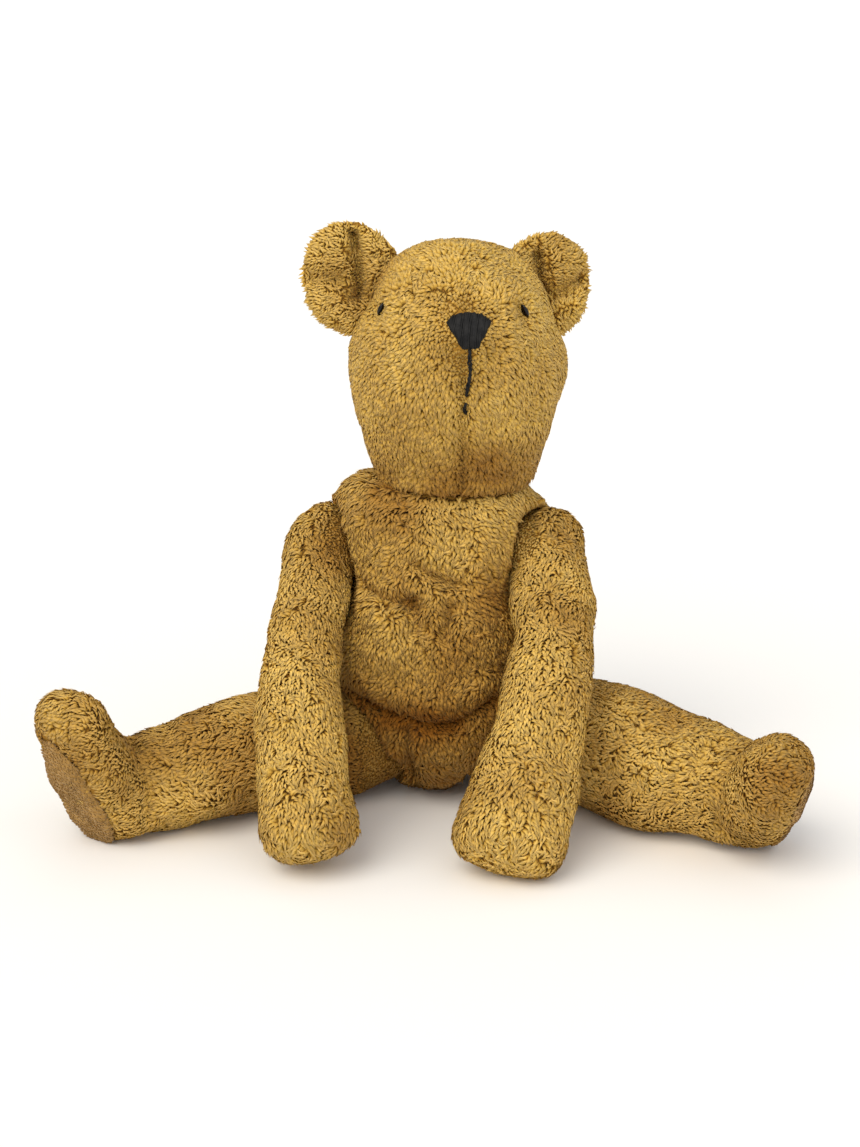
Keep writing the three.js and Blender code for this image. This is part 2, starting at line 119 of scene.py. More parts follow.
class PileSettings(bpy.types.PropertyGroup):
    """The cloth of the bear and the pile that stands on it."""

    spacing: size_setting("Spacing", "Least distance between two tufts", 1.2)
    length: size_setting("Length", "Length of a tuft of pile", 5.6)
    width: size_setting("Width", "Width of a tuft at its root", 2.0)
    curl: share_setting("Curl", "How far a tuft lies over, from standing to flat", 0.85)
    disorder: share_setting("Disorder", "How far the pile wanders from the way it is brushed", 1.1)
    clumping: share_setting("Clumping", "How far neighbouring tufts draw together", 1.3)
    seed: bpy.props.IntProperty(name="Seed", description="Seed of the pile's random choices", default=7)
    tip: dye_setting("Tip", "Colour of the tips of the pile", "#e6c274")
    middle: dye_setting("Middle", "Colour half way up the pile", "#cfa748")
    root: dye_setting("Root", "Colour of the roots of the pile", "#ac7b1e")
    sink: size_setting("Sink", "How far the cloth lies under the tips of the pile", 2.0)
    grid: size_setting("Grid", "Size of the squares that the cloth is simulated in", 4.2)
    pressure: share_setting("Pressure", "How hard the filling presses out", 4.0)


class FaceSettings(bpy.types.PropertyGroup):
    """The sewn nose and mouth, and the eyes."""

    thread: size_setting("Thread", "Thickness of the embroidery thread", 0.8)
    nose_pad: size_setting("Nose pad", "How far the nose stands proud", 2.0)
    eye_width: size_setting("Eye width", "Width of an eye", 3.2)
    eye_height: size_setting("Eye height", "Height of an eye", 7.8)


class StageSettings(bpy.types.PropertyGroup):
    """The floor, the camera and the lights."""

    azimuth: angle_setting("Azimuth", "Where the camera stands, from straight in front", 7)
    elevation: angle_setting("Elevation", "How high the camera looks from", 17)
    distance: bpy.props.FloatProperty(
        name="Distance", description="From the camera to the bear", default=1.1, unit="LENGTH"
    )
    lens: bpy.props.FloatProperty(name="Lens", description="Focal length in millimetres", default=63.93)
    floor: bpy.props.FloatProperty(
        name="Floor", description="Half the side of the floor", default=80.0, unit="LENGTH"
    )


# ------------------------------------------------------------------ meshes


def coords(mesh):
    """The points of a mesh, one row each."""
    flat = np.empty(3 * len(mesh.vertices), np.float32)
    mesh.vertices.foreach_get("co", flat)
    return flat.reshape(-1, 3).astype(float)


def set_coords(mesh, points):
    mesh.vertices.foreach_set("co", np.asarray(points, np.float32).ravel())
    mesh.update()


def normals(mesh):
    flat = np.empty(3 * len(mesh.vertices), np.float32)
    mesh.vertex_normals.foreach_get("vector", flat)
    return flat.reshape(-1, 3).astype(float)


def new_object(name, mesh):
    obj = bpy.data.objects.new(name, mesh)
    bpy.context.scene.collection.objects.link(obj)
    return obj


def settle(obj):
    """Turns what the modifiers make into the object's plain mesh."""
    evaluated = obj.evaluated_get(bpy.context.evaluated_depsgraph_get())
    mesh = bpy.data.meshes.new_from_object(evaluated)
    old = obj.data
    obj.modifiers.clear()
    obj.data = mesh
    bpy.data.meshes.remove(old)
    mesh.name = obj.name


def keep_largest(mesh):
    """Removes every closed shell but the widest, such as the walls of a hollow."""
    work = bmesh.new()
    work.from_mesh(mesh)
    unseen = set(work.verts)
    shells = []
    while unseen:
        shell = {unseen.pop()}
        front = list(shell)
        while front:
            for edge in front.pop().link_edges:
                for vertex in edge.verts:
                    if vertex in unseen:
                        unseen.remove(vertex)
                        shell.add(vertex)
                        front.append(vertex)
        shells.append(shell)
    largest = max(shells, key=lambda shell: max(v.co.x for v in shell) - min(v.co.x for v in shell))
    bmesh.ops.delete(work, geom=[v for v in work.verts if v not in largest], context="VERTS")
    work.to_mesh(mesh)
    work.free()


def solid_form(name, nodes, grid, rounds, crisp=None):
    """One smooth closed cloth form round the CAD nodes. Where crisp holds, it keeps its edges."""
    work = bmesh.new()
    for node in nodes:
        work.from_mesh(frame["nodes"][node].data)
    bmesh.ops.remove_doubles(work, verts=work.verts, dist=1e-6)
    mesh = bpy.data.meshes.new(name)
    work.to_mesh(mesh)
    work.free()
    obj = new_object(name, mesh)
    remesh = obj.modifiers.new("Remesh", "REMESH")
    remesh.mode = "VOXEL"
    remesh.voxel_size = grid
    settle(obj)
    keep_largest(obj.data)
    smooth = obj.modifiers.new("Smooth", "SMOOTH")
    smooth.factor = 0.5
    smooth.iterations = rounds
    if crisp is not None:
        group = obj.vertex_groups.new(name="soft")
        group.add([int(i) for i in np.flatnonzero(~crisp(coords(obj.data)))], 1.0, "REPLACE")
        smooth.vertex_group = "soft"
    settle(obj)
    obj.vertex_groups.clear()
    return obj


def sink(obj, depth, share=1.0):
    """Moves the surface in by a depth, or by a share of it at each point."""
    amount = depth * np.broadcast_to(share, len(obj.data.vertices))
    set_coords(obj.data, coords(obj.data) - amount[:, None] * normals(obj.data))


def ramp_up(values, low, high):
    """0 below low, 1 above high, and a straight line between, in millimetres."""
    return np.clip((np.asarray(values) / MM - low) / (high - low), 0, 1)


FAR_AWAY = 9.0  # metres, beyond any point of the bear
SAME_SIDE = 45 * MM  # how deep a point may lie before it counts as on the far side


def near_path(points, path, facing=None):
    """Distance of each point from a path, seen along facing when that is given. Points on the far
    side of the piece count as far away."""
    line = np.array(path, float) * MM
    flat = np.asarray(points)
    same_side = np.ones(len(flat), bool)
    if facing is not None:
        view = np.array(Vector(facing).normalized())
        same_side = np.abs(flat @ view - (line @ view).mean()) < SAME_SIDE
        flat = flat - np.outer(flat @ view, view)
        line = line - np.outer(line @ view, view)
    nearest = np.full(len(flat), FAR_AWAY)
    for start, end in zip(line[:-1], line[1:]):
        step = end - start
        along = np.clip(((flat - start) @ step) / max(step @ step, 1e-12), 0, 1)
        away = np.linalg.norm(flat - start - along[:, None] * step, axis=1)
        nearest = np.minimum(nearest, away)
    return np.where(same_side, nearest, FAR_AWAY)


def press(obj, path, width, depth, facing=FRONT):
    """Presses a soft groove of a width and depth in millimetres along a path. A negative depth raises it."""
    points, out = coords(obj.data), normals(obj.data)
    away = near_path(points, path, facing)
    front = np.clip(out @ np.array(Vector(facing).normalized()) * 1.6, 0, 1)
    amount = depth * MM * np.exp(-((away / (width * MM)) ** 2)) * front
    set_coords(obj.data, points - amount[:, None] * out)


WAVES = 24


def lumps(points, size, seed):
    """Smooth random values about -1 to 1, from a few dozen waves of about the given size."""
    rng = np.random.default_rng(seed)
    value = np.zeros(len(points))
    for _ in range(WAVES):
        way = rng.normal(size=3)
        way /= np.linalg.norm(way)
        length = size * rng.uniform(0.7, 1.6)
        value += np.sin(points @ way * (2 * math.pi / length) + rng.uniform(0, 2 * math.pi))
    return value / math.sqrt(WAVES / 2)


def crumple(obj, size, height, seed):
    """Gives the cloth the shallow lumps of old filling."""
    points = coords(obj.data)
    amount = height * lumps(points, size, seed)
    set_coords(obj.data, points + amount[:, None] * normals(obj.data))


SWELL_FRAMES = 20


def swell(obj, settings, sewn, limit):
    """Blows the cloth out against its seams, then lets no point move past the limit."""
    scene = bpy.context.scene
    start = coords(obj.data)
    group = obj.vertex_groups.new(name="sewn")
    held = [int(i) for i in np.flatnonzero(sewn)]
    if held:
        group.add(held, 1.0, "REPLACE")
    cloth = obj.modifiers.new("Cloth", "CLOTH")
    if held:
        cloth.settings.vertex_group_mass = "sewn"
    cloth.settings.quality = 4
    cloth.settings.use_pressure = True
    cloth.settings.uniform_pressure_force = settings.pressure
    cloth.settings.effector_weights.gravity = 0
    cloth.settings.shrink_min = -0.02
    cloth.collision_settings.use_collision = False
    cloth.point_cache.frame_start = 1
    cloth.point_cache.frame_end = SWELL_FRAMES
    for number in range(1, SWELL_FRAMES + 1):
        scene.frame_set(number)
    settle(obj)
    scene.frame_set(1)
    moved = coords(obj.data) - start
    reach = np.linalg.norm(moved, axis=1)
    scale = np.minimum(1, limit / np.maximum(reach, 1e-9))
    set_coords(obj.data, start + moved * scale[:, None])
    obj.vertex_groups.clear()
    smooth = obj.modifiers.new("Smooth", "SMOOTH")
    smooth.factor = 0.5
    smooth.iterations = 2
    settle(obj)


def refine(obj, levels=1):
    subdivision = obj.modifiers.new("Subdivision", "SUBSURF")
    subdivision.levels = levels
    subdivision.render_levels = levels
    settle(obj)


def store(obj, name, kind, values):
    attribute = obj.data.attributes.new(name, kind, "POINT")
    key = "vector" if kind == "FLOAT_VECTOR" else "value"
    attribute.data.foreach_set(key, np.asarray(values, np.float32).ravel())


def brush(obj, nap, **shares):
    """Leaves on the cloth what its pile is grown from: the lie of the nap, and shares at each point."""
    store(obj, "nap", "FLOAT_VECTOR", nap)
    for name, values in shares.items():
        store(obj, name, "FLOAT", values)


def rest_on_floor(obj):
    """Flattens what would lie under the floor against it."""
    points = coords(obj.data)
    points[:, 2] = np.maximum(points[:, 2], 0.2 * MM)
    set_coords(obj.data, points)


# ------------------------------------------------------------------ node trees


def add(tree, kind, inputs=None, **settings):
    """Adds a node. inputs gives a socket's value, or the socket that it comes from."""
    node = tree.nodes.new(kind)
    for name, value in settings.items():
        setattr(node, name, value)
    for socket, value in (inputs or {}).items():
        target = node.inputs[socket]
        if isinstance(value, bpy.types.NodeSocket):
            tree.links.new(value, target)
        else:
            target.default_value = value
    return node


def new_material(name):
    material = bpy.data.materials.new(name)
    material.use_nodes = True
    material.node_tree.nodes.clear()
    return material, material.node_tree


def group_input(tree, name, kind, default=None):
    socket = tree.interface.new_socket(name, in_out="INPUT", socket_type=kind)
    if default is not None:
        socket.default_value = default


def set_inputs(modifier, tree, values):
    """Sets a modifier's inputs by the identifier of each named socket."""
    for item in tree.interface.items_tree:
        if item.item_type == "SOCKET" and item.in_out == "INPUT" and item.name in values:
            modifier[item.identifier] = values[item.name]


# ------------------------------------------------------------------ materials


def grain(tree, scale, detail=2.0):
    """Fine random value from 0 to 1, in the object's own space."""
    place = add(tree, "ShaderNodeTexCoord").outputs["Object"]
    return add(tree, "ShaderNodeTexNoise", {"Vector": place, "Scale": scale, "Detail": detail}).outputs["Fac"]


def between_dyes(tree, value, dark, light, low=0.0, high=1.0):
    """The dark colour where the value is under low, and the light one where it is over high."""
    ramp = add(tree, "ShaderNodeValToRGB", {0: value})
    for element, text, position in zip(ramp.color_ramp.elements, (dark, light), (low, high)):
        element.color = linear(text)
        element.position = position
    return ramp.outputs[0]


def relief(tree, height, strength, depth):
    """A bump of a depth in metres."""
    bump = add(tree, "ShaderNodeBump", {"Strength": strength, "Distance": depth, "Height": height})
    return bump.outputs[0]


def surface(tree, inputs):
    shader = add(tree, "ShaderNodeBsdfPrincipled", inputs)
    add(tree, "ShaderNodeOutputMaterial", {"Surface": shader.outputs[0]})


def calculate(tree, operation, first, second):
    return add(tree, "ShaderNodeMath", {0: first, 1: second}, operation=operation).outputs[0]


def plush_material():
    """Cotton plush: curled cut pile, washed often. The eye sees pale gold tips with brown between
    them, broad patches that are browner, painted shade that browns the pile in creases, hollows
    and under the head and body, and a dry surface with a faint glow at its edges."""
    material, tree = new_material("Curled cotton plush")
    along, shade, brown = (
        add(tree, "ShaderNodeAttribute", attribute_name=name).outputs["Fac"]
        for name in ("along", "shade", "brown")
    )
    root_to_tip = add(tree, "ShaderNodeValToRGB", {0: along})
    pile = bpy.context.scene.bear_pile
    ramp = root_to_tip.color_ramp
    ramp.elements[0].color = pile.root
    ramp.elements[1].color = pile.tip
    ramp.elements[1].position = 0.9
    ramp.elements.new(0.4).color = pile.middle
    # Patches about 35 mm across, where the pile has kept more of its brown. The brown attribute added to them
    # is partly the pile's own brown and partly painted shade in creases, hollows and under the head and body.
    patches = grain(tree, 28.0, 3.0)
    spread = add(tree, "ShaderNodeMapRange", {0: patches, 1: 0.42, 2: 0.7, 3: 0.0, 4: 0.35})
    patches_and_painted_shade = add(tree, "ShaderNodeMath", {0: spread.outputs[0], 1: brown}, operation="ADD")
    patches_and_painted_shade.use_clamp = True
    browner = add(
        tree,
        "ShaderNodeMix",
        {0: patches_and_painted_shade.outputs[0], 6: root_to_tip.outputs[0], 7: linear("#a07b3a")},
        data_type="RGBA",
        blend_type="MULTIPLY",
    )
    # Each tuft is a little lighter or darker than the next, as its fibres turn to the light.
    value = add(tree, "ShaderNodeMapRange", {0: shade, 3: 0.87, 4: 1.12})
    tuft = add(tree, "ShaderNodeHueSaturation", {"Value": value.outputs[0], "Color": browner.outputs[2]})
    surface(
        tree,
        {
            "Base Color": tuft.outputs[0],
            "Roughness": 0.85,
            "Specular IOR Level": 0.25,
            "Sheen Weight": 0.1,
            "Sheen Roughness": 0.5,
            "Sheen Tint": linear("#ffd890"),
            "Normal": relief(tree, grain(tree, 1900.0), 0.5, 0.0003),
        },
    )
    return material


def backing_material():
    """Cotton backing cloth, woven and dyed brown. It shows only as the dark between the tufts."""
    material, tree = new_material("Woven cotton backing")
    weave = grain(tree, 900.0)
    surface(
        tree,
        {
            "Base Color": between_dyes(tree, weave, "#8c6322", "#aa7f35"),
            "Roughness": 0.95,
            "Specular IOR Level": 0.1,
            "Normal": relief(tree, weave, 0.4, 0.0004),
        },
    )
    return material


def knit_material():
    """Brushed cotton knit, worn thin on the soles. The eye sees a close matt nap with fine ribs
    about 1.4 mm apart, greyer where it has rubbed on the floor."""
    material, tree = new_material("Brushed sole knit")
    colour = between_dyes(tree, grain(tree, 45.0, 4.0), "#8c6628", "#b38a45", 0.3, 0.75)
    place = add(tree, "ShaderNodeTexCoord").outputs["Object"]
    ribs = add(
        tree,
        "ShaderNodeTexWave",
        {"Vector": place, "Scale": 115.0, "Distortion": 3.0, "Detail": 2.0, "Detail Scale": 3.0},
        bands_direction="Z",
    )
    nap = grain(tree, 1100.0, 3.0)
    speckle = add(
        tree,
        "ShaderNodeMix",
        {0: 0.3, 6: colour, 7: nap},
        data_type="RGBA",
        blend_type="SOFT_LIGHT",
    )
    surface(
        tree,
        {
            "Base Color": speckle.outputs[2],
            "Roughness": 0.92,
            "Sheen Weight": 0.3,
            "Sheen Tint": linear("#ffe9c4"),
            "Normal": relief(tree, calculate(tree, "ADD", ribs.outputs["Fac"], nap), 0.6, 0.0005),
        },
    )
    return material


def thread_material():
    """Stranded cotton embroidery thread, black. It has a soft gloss along the strands and fades to
    a warm grey where it is rubbed."""
    material, tree = new_material("Black embroidery thread")
    surface(
        tree,
        {
            "Base Color": between_dyes(tree, grain(tree, 260.0, 4.0), "#0a0a0b", "#232221", 0.4, 0.78),
            "Roughness": 0.6,
            "Specular IOR Level": 0.25,
            "Normal": relief(tree, grain(tree, 3000.0), 0.5, 0.0002),
        },
    )
    return material


def eye_material():
    """Pressed black glass, polished by moulding, with a brown cast in its depth."""
    material, tree = new_material("Pressed dark glass")
    colour = between_dyes(tree, grain(tree, 400.0), "#050404", "#120c09")
    surface(tree, {"Base Color": colour, "Roughness": 0.1, "Specular IOR Level": 0.3})
    return material


def board_material():
    """Pressed hardboard: wood fibre pressed flat, brown, with fine flecks."""
    material, tree = new_material("Pressed hardboard")
    flecks = grain(tree, 700.0, 5.0)
    surface(
        tree,
        {
            "Base Color": between_dyes(tree, flecks, "#4d3018", "#8a6238"),
            "Roughness": 0.7,
            "Normal": relief(tree, flecks, 0.2, 0.0002),
        },
    )
    return material


def zinc_material():
    """Zinc plated steel, bright with a faint cloudiness of the plating."""
    material, tree = new_material("Bright zinc plate")
    rough = add(tree, "ShaderNodeMapRange", {0: grain(tree, 300.0, 3.0), 3: 0.22, 4: 0.42})
    surface(tree, {"Base Color": linear("#bfc3c8"), "Metallic": 1.0, "Roughness": rough.outputs[0]})
    return material


def paper_material():
    """Matt backdrop paper, pale and plain."""
    material, tree = new_material("Matt backdrop paper")
    tooth = relief(tree, grain(tree, 500.0), 0.05, 0.0002)
    surface(tree, {"Base Color": linear("#f4f3f1"), "Roughness": 0.9, "Normal": tooth})
    return material


MAKERS = {
    "plush": plush_material,
    "backing": backing_material,
    "knit": knit_material,
    "thread": thread_material,
    "eye": eye_material,
    "board": board_material,
    "zinc": zinc_material,
    "paper": paper_material,
}
made = {}


def material(name):
    """The material of that name, made the first time that it is asked for."""
    if name not in made:
        made[name] = MAKERS[name]()
    return made[name]


# ------------------------------------------------------------------ pile


POINTS_A_CELL = 1.4  # tried in each square of the spacing, before those too close are dropped
BEND_POWER = 1.6  # how late along its length a tuft bends
TIP_DROP = 0.75  # how far a tip falls, as a share of how far it leans


def pile_tree():
    """Tufts over a surface: a bent three-sided spike for each, laid the way the nap runs."""
    tree = bpy.data.node_groups.new("Pile", "GeometryNodeTree")
    group_input(tree, "Cloth", "NodeSocketGeometry")
    for name, usual in (
        ("Spacing", 0.0016),
        ("Length", 0.006),
        ("Width", 0.0014),
        ("Curl", 0.7),
        ("Disorder", 1.0),
        ("Clumping", 1.0),
    ):
        group_input(tree, name, "NodeSocketFloat", usual)
    group_input(tree, "Seed", "NodeSocketInt", 1)
    group_input(tree, "Pile material", "NodeSocketMaterial")
    tree.interface.new_socket("Plush", in_out="OUTPUT", socket_type="NodeSocketGeometry")
    given = add(tree, "NodeGroupInput").outputs
    cell = calculate(tree, "MULTIPLY", given["Spacing"], given["Spacing"])
    density = calculate(tree, "DIVIDE", POINTS_A_CELL, cell)
    cover = add(tree, "GeometryNodeInputNamedAttribute", {"Name": "cover"}, data_type="FLOAT")
    scatter = add(
        tree,
        "GeometryNodeDistributePointsOnFaces",
        {
            "Mesh": given["Cloth"],
            "Distance Min": given["Spacing"],
            "Density Max": density,
            "Density Factor": cover.outputs[0],
            "Seed": given["Seed"],
        },
        distribute_method="POISSON",
    )
    # One tuft: a spike whose tip lies over along its own X.
    spike = add(
        tree,
        "GeometryNodeMeshCone",
        {
            "Vertices": 3,
            "Side Segments": 2,
            "Fill Segments": 1,
            "Radius Top": 0.0,
            "Radius Bottom": given["Width"],
            "Depth": given["Length"],
        },
    )
    spot = add(tree, "GeometryNodeInputPosition")
    parts = add(tree, "ShaderNodeSeparateXYZ", {0: spot.outputs[0]})
    along = calculate(tree, "DIVIDE", parts.outputs[2], given["Length"])
    reach = calculate(tree, "MULTIPLY", given["Length"], given["Curl"])
    lean = calculate(tree, "MULTIPLY", calculate(tree, "POWER", along, BEND_POWER), reach)
    drop = calculate(tree, "MULTIPLY", calculate(tree, "MULTIPLY", along, along), reach)
    lower = calculate(tree, "MULTIPLY", drop, -TIP_DROP)
    bend = add(tree, "ShaderNodeCombineXYZ", {0: lean, 2: lower})
    bent = add(tree, "GeometryNodeSetPosition", {"Offset": bend.outputs[0]})
    marked = add(
        tree,
        "GeometryNodeStoreNamedAttribute",
        {"Geometry": spike.outputs["Mesh"], "Name": "along", "Value": along},
        data_type="FLOAT",
        domain="POINT",
    )
    tree.links.new(marked.outputs[0], bent.inputs["Geometry"])
    tuft = add(tree, "GeometryNodeSetShadeSmooth", {"Geometry": bent.outputs[0], "Shade Smooth": True})
    # The way each tuft lies: the nap, a slow wander and a quick one that draws tufts together.
    nap = add(tree, "GeometryNodeInputNamedAttribute", {"Name": "nap"}, data_type="FLOAT_VECTOR")
    here = add(tree, "GeometryNodeInputPosition")
    wander = add(tree, "ShaderNodeTexNoise", {"Vector": here.outputs[0], "Scale": 55.0, "Detail": 1.0})
    clump = add(tree, "ShaderNodeTexNoise", {"Vector": here.outputs[0], "Scale": 190.0, "Detail": 1.0})
    ways = [nap.outputs[0]]
    for noise, amount in ((wander, given["Disorder"]), (clump, given["Clumping"])):
        centred = add(
            tree,
            "ShaderNodeVectorMath",
            {0: noise.outputs["Color"], 1: (0.5, 0.5, 0.5)},
            operation="SUBTRACT",
        )
        strength = calculate(tree, "MULTIPLY", amount, 3.0)
        scaled = add(
            tree, "ShaderNodeVectorMath", {0: centred.outputs[0], 3: strength}, operation="SCALE"
        )
        total = add(tree, "ShaderNodeVectorMath", {0: ways[-1], 1: scaled.outputs[0]}, operation="ADD")
        ways.append(total.outputs[0])
    stand = add(
        tree,
        "FunctionNodeAlignRotationToVector",
        {"Vector": scatter.outputs["Normal"]},
        axis="Z",
        pivot_axis="AUTO",
    )
    laid = add(
        tree,
        "FunctionNodeAlignRotationToVector",
        {"Rotation": stand.outputs[0], "Vector": ways[-1]},
        axis="X",
        pivot_axis="Z",
    )
    size = add(tree, "GeometryNodeInputNamedAttribute", {"Name": "length"}, data_type="FLOAT")
    vary = add(
        tree, "FunctionNodeRandomValue", {2: 0.75, 3: 1.25, "Seed": 11}, data_type="FLOAT"
    )
    tall = calculate(tree, "MULTIPLY", size.outputs[0], vary.outputs[1])
    scale = add(tree, "ShaderNodeCombineXYZ", {0: tall, 1: 1.0, 2: tall})
    tufts = add(
        tree,
        "GeometryNodeInstanceOnPoints",
        {
            "Points": scatter.outputs["Points"],
            "Instance": tuft.outputs[0],
            "Rotation": laid.outputs[0],
            "Scale": scale.outputs[0],
        },
    )
    tone = add(tree, "FunctionNodeRandomValue", {"Seed": 23}, data_type="FLOAT")
    toned = add(
        tree,
        "GeometryNodeStoreNamedAttribute",
        {"Geometry": tufts.outputs[0], "Name": "shade", "Value": tone.outputs[1]},
        data_type="FLOAT",
        domain="INSTANCE",
    )
    real = add(tree, "GeometryNodeRealizeInstances", {"Geometry": toned.outputs[0]})
    dressed = add(
        tree, "GeometryNodeSetMaterial", {"Geometry": real.outputs[0], "Material": given["Pile material"]}
    )
    both = add(tree, "GeometryNodeJoinGeometry")
    tree.links.new(dressed.outputs[0], both.inputs[0])
    tree.links.new(given["Cloth"], both.inputs[0])
    add(tree, "NodeGroupOutput", {0: both.outputs[0]})
    return tree


def grow_pile(obj, settings, seed=0, **changes):
    """Covers the cloth with pile and leaves cloth and pile as one plain mesh."""
    if "Pile" not in bpy.data.node_groups:
        pile_tree()
    tree = bpy.data.node_groups["Pile"]
    obj.data.materials.clear()
    obj.data.materials.append(material("backing"))
    modifier = obj.modifiers.new("Pile", "NODES")
    modifier.node_group = tree
    values = {
        "Spacing": settings.spacing,
        "Length": settings.length,
        "Width": settings.width,
        "Curl": settings.curl,
        "Disorder": settings.disorder,
        "Clumping": settings.clumping,
        "Seed": settings.seed + seed,
        "Pile material": material("plush"),
    }
    values.update(changes)
    set_inputs(modifier, tree, values)
    settle(obj)
    rest_on_floor(obj)
    for name in ("nap", "cover", "length"):
        if name in obj.data.attributes:
            obj.data.attributes.remove(obj.data.attributes[name])


def finish_plush(obj, body, nodes):
    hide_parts(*nodes)
    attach(obj, body)


def unit_rows(rows):
    return rows / np.maximum(np.linalg.norm(rows, axis=1), 1e-9)[:, None]


def joint_nodes(name, inner):
    """The hardware that lies in one body's filling at a joint."""
    return [f"{name}_disc_{inner}", f"{name}_washer_{inner}"]


def shorter_near(points, centre, radius, least=0.45):
    """A share of the pile's length, less inside a joint's pocket."""
    away = np.linalg.norm(points - np.array(centre), axis=1)
    return np.clip(least + (away - radius) / (8 * MM), least, 1)


def free_of_pocket(points, centre, bulb, side):
    """1 on a limb, down to 0 where its rounded end lies in the body's pocket."""
    rows = points - np.array(centre)
    inward = rows[:, 0] * (1 if side == "right" else -1)
    in_pocket = (1 - ramp_up(np.linalg.norm(rows, axis=1), bulb + 2, bulb + 8)) * ramp_up(inward, -4, 6)
    return 1 - in_pocket


# ------------------------------------------------------------------ operators

# Paths over the bear, in millimetres.
# Painted shade browns the pile along the belly's forked crease, and along the fold over the tops of the legs.
BELLY_CREASE_SHADE = [(-6, -53, 118), (14, -58, 98)]
BELLY_FOLD = [(-40, -54, 64), (-19, -61, 57), (3, -63, 52), (16, -62, 52), (38, -55, 65)]
# Each crease is a path, then its width and its depth. A negative depth is a ridge.
BODY_CREASES = (
    ([(-4, -48, 137), (7, -50, 131), (18, -49, 127)], 4, 5.5),
    ([(-38, -42, 122), (-20, -50, 117), (-3, -53, 117)], 4, 5.5),
    ([(-6, -53, 118), (-4, -56, 104)], 5, 5),
    ([(16, -55, 114), (13, -58, 100)], 5, 4.5),
    ([(-24, -50, 106), (-22, -55, 92)], 12, -3),
    ([(32, -50, 112), (30, -55, 92)], 12, -2.4),
    ([(5, -50, 145), (4, -50, 152)], 13, -2),
    ([(5, -50, 121), (7, -50, 110)], 5, -2),
    (BELLY_FOLD, 5, 7),
    ([(-36, -54, 74), (-19, -61, 67), (3, -63, 63), (16, -62, 63), (36, -55, 75)], 7, -2.5),
    ([(-8, -63, 46), (-7, -56, 26), (-7, -40, 4)], 3.5, 6),
)
EYE_SOCKETS = ([(-24, -38, 272), (-26, -38, 266)], [(48, -40, 273), (50, -40, 267)])
WORN_TOE = [(186, -104, 52), (182, -110, 30)]


# Radii in millimetres round each limb's pivot.
POCKET = {"arm": 22, "leg": 32}
SEWN_ROUND = {"arm": 26, "leg": 37}
SHORT_PILE = {"arm": 22, "leg": 33}


def pivot(side, limb):
    """The point that an arm or a leg turns about."""
    return JOINTS[f"{side}_{limb}_swing"]["pos_m"]


def glow_near(points, path, facing, reach):
    """1 on a path, fading to nothing over the reach in metres."""
    return np.exp(-((near_path(points, path, facing) / reach) ** 2))


class PLUSH_OT_torso(bpy.types.Operator):
    """Makes the body: a stuffed cloth form with its creases, covered in pile"""

    bl_idname = "plush.torso"
    bl_label = "Body"

    def execute(self, context):
        settings = context.scene.bear_pile
        inside = ["torso_skin", "torso_stuffing"]
        in_body = [name for name, node in frame["nodes"].items() if node["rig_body"] == "torso"]
        hardware = [name for name in in_body if name not in inside]
        obj = solid_form(
            "torso_plush", inside + hardware, settings.grid, 6, lambda p: p[:, 2] > NECK.z - 3 * MM
        )
        points = coords(obj.data)
        share = 1 - ramp_up(points[:, 2] - NECK.z, -6, -2)
        for side in SIDES:
            for limb, bulb in POCKET.items():
                away = np.linalg.norm(points - np.array(pivot(side, limb)), axis=1)
                share = share * ramp_up(away, bulb + 1, bulb + 5)
        sink(obj, settings.sink, share)
        seam = (np.abs(points[:, 0] - 2 * MM) < 3 * MM) & (points[:, 1] > 0)
        rim = points[:, 2] > NECK.z - 8 * MM
        pockets = np.zeros(len(points), bool)
        for side in SIDES:
            for limb, radius in SEWN_ROUND.items():
                centre = np.array(pivot(side, limb))
                pockets |= np.linalg.norm(points - centre, axis=1) < radius * MM
        swell(obj, settings, seam | rim | pockets, 4 * MM)
        refine(obj)
        crumple(obj, 42 * MM, 0.9 * MM, 3)
        # The shoulders slope away from the neck and run on into the arms.
        points = coords(obj.data)
        beyond = np.clip(np.abs(points[:, 0] - 4 * MM) - 44 * MM, 0, None)
        facing_up = np.clip(normals(obj.data)[:, 2] / 0.6, 0, 1)
        points[:, 2] -= 0.42 * beyond * facing_up * (points[:, 2] > 0.15)
        set_coords(obj.data, points)
        # The belly has sunk where its filling has shrunk, and folds over the tops of the legs.
        for path, width, depth in BODY_CREASES:
            press(obj, path, width, depth)
        press(obj, [(2, 38, 150), (2, 38, 20)], 3, 2, facing=BACK)
        points = coords(obj.data)
        nap = np.zeros_like(points)
        nap[:, 2] = -1.0
        nap[:, 0] = 0.4 * np.sign(points[:, 0]) * np.clip(np.abs(points[:, 0]) / 0.04, 0, 1)
        length = np.ones(len(points))
        for side in SIDES:
            for limb, radius in SHORT_PILE.items():
                length = np.minimum(length, shorter_near(points, pivot(side, limb), radius * MM))
        height = points[:, 2] / MM
        # Painted shade: the pile is browner low on the body towards the legs, and paler up the chest. The
        # even share over the whole body is partly the body's own browner pile.
        brown = 0.36 + 0.25 * np.clip((84 - height) / 34, 0, 1) - 0.2 * np.clip((height - 120) / 30, 0, 1)
        # Painted shade in the belly's forked crease and in the fold over the legs.
        brown += 0.3 * glow_near(points, BELLY_CREASE_SHADE, FRONT, 0.012)
        brown += 0.3 * glow_near(points, BELLY_FOLD, FRONT, 0.009)
        # Painted shade on the chest under the head, on the bear's right.
        brown += 0.32 * glow_near(points, [(-58, -25, 158), (-34, -34, 166), (-12, -38, 166)], FRONT, 0.014)
        from_axis = np.linalg.norm((points - np.array(NECK))[:, :2], axis=1)
        cover = (points[:, 2] < NECK.z - 3 * MM) | (from_axis > 36 * MM)
        nap += (points - np.array(NECK)) * (from_axis < 60 * MM)[:, None] * (height > 160)[:, None] / 0.06
        brown = np.clip(brown + 0.12 * lumps(points, 60 * MM, 5), 0, 1)
        brush(obj, nap, length=length, cover=cover, brown=brown)
        grow_pile(obj, settings, seed=1)
        finish_plush(obj, "torso", inside)
        return {"FINISHED"}


